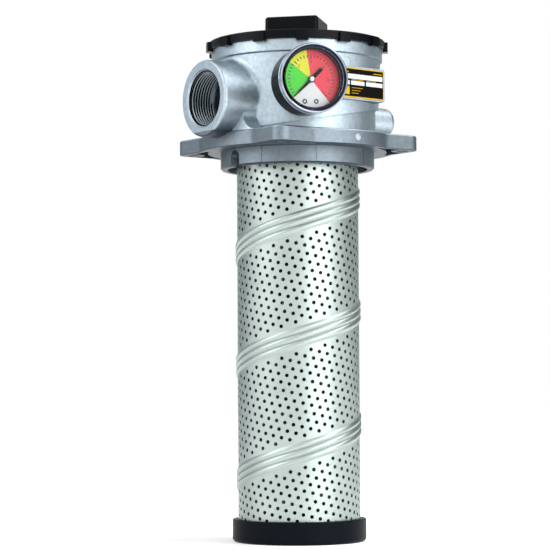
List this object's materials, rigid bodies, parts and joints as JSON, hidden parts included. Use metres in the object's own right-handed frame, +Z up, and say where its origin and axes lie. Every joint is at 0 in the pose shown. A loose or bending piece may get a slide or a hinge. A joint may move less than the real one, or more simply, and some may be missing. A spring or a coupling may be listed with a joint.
{
  "type": "return line filter",
  "caption": "Tank-top hydraulic return line filter with cast head, screw cover, clogging gauge and perforated filter element.",
  "frame": {"origin": "centre of the flange's mounting face, which lies on the tank", "axes": "+Z up along the filter's axis towards the cover, -X along the inlet port out of its mouth"},
  "size_m": [0.1782, 0.1678, 0.4018],
  "materials": {
    "cast_aluminium": "as cast, machined faces bright",
    "cover_nylon": "glass-filled nylon, satin",
    "nitrile": "moulded",
    "spring_steel": "drawn wire",
    "cap_plastic": "moulded, satin",
    "galvanised_sheet": "tinned sheet, bright",
    "filter_paper": "pleated",
    "valve_steel": "turned",
    "black_enamel": "gloss",
    "gauge_brass": "turned",
    "dial_enamel": "satin, coloured sectors",
    "black_ring": "moulded",
    "clear_glass": "clear",
    "bright_chrome": "polished",
    "pointer_enamel": "satin",
    "hub_chrome": "polished",
    "plate_ink": "printed, gloss"
  },
  "bodies": {
    "housing": {"head": "cast_aluminium", "mounting_flange": "cast_aluminium", "inlet_neck": "cast_aluminium", "hold_down_spring": "spring_steel", "element_top_cap": "cap_plastic", "element_seal": "nitrile", "sleeve": "galvanised_sheet", "pleated_media": "filter_paper", "bottom_cap": "cap_plastic", "bypass_bridge": "valve_steel", "bypass_spring": "spring_steel", "gauge_case": "black_enamel", "gauge_stem": "gauge_brass", "gauge_washer": "nitrile", "gauge_dial": "dial_enamel", "gauge_ring": "black_ring", "gauge_lens": "clear_glass", "gauge_bezel": "bright_chrome", "name_plate": "plate_ink"},
    "cover_seal": {"cover_seal": "nitrile"},
    "cover": {"cover": "cover_nylon"},
    "bypass_valve": {"bypass_poppet": "valve_steel", "bypass_retainer": "valve_steel"},
    "pointer": {"gauge_arbor": "valve_steel", "gauge_pointer": "pointer_enamel", "pointer_hub": "hub_chrome"}
  },
  "joints": [
    {"name": "cover_lift", "type": "slide", "parent": "housing", "child": "cover_seal", "axis": [0, 0, 1], "range_m": [0, 0.015], "deforming": ["hold_down_spring"]},
    {"name": "cover_turn", "type": "hinge", "parent": "cover_seal", "child": "cover", "pos_m": [0, 0, 0.0793], "axis": [0, 0, 1], "range_deg": [0, 1080]},
    {"name": "bypass_open", "type": "slide", "parent": "housing", "child": "bypass_valve", "axis": [0, 0, -1], "range_m": [0, 0.005], "stiffness_N_per_m": 1000, "springref_m": -0.02, "deforming": ["bypass_spring"]},
    {"name": "pointer_swing", "type": "hinge", "parent": "housing", "child": "pointer", "pos_m": [-0.0376, -0.0568, 0.0451], "axis": [0.3256, 0.9455, 0], "range_deg": [0, 270], "stiffness_Nm_per_rad": 0.0001}
  ],
  "couplings": [
    {"joint": "cover_lift", "follows": "cover_turn", "m_per_rad": 0.00079577}
  ]
}
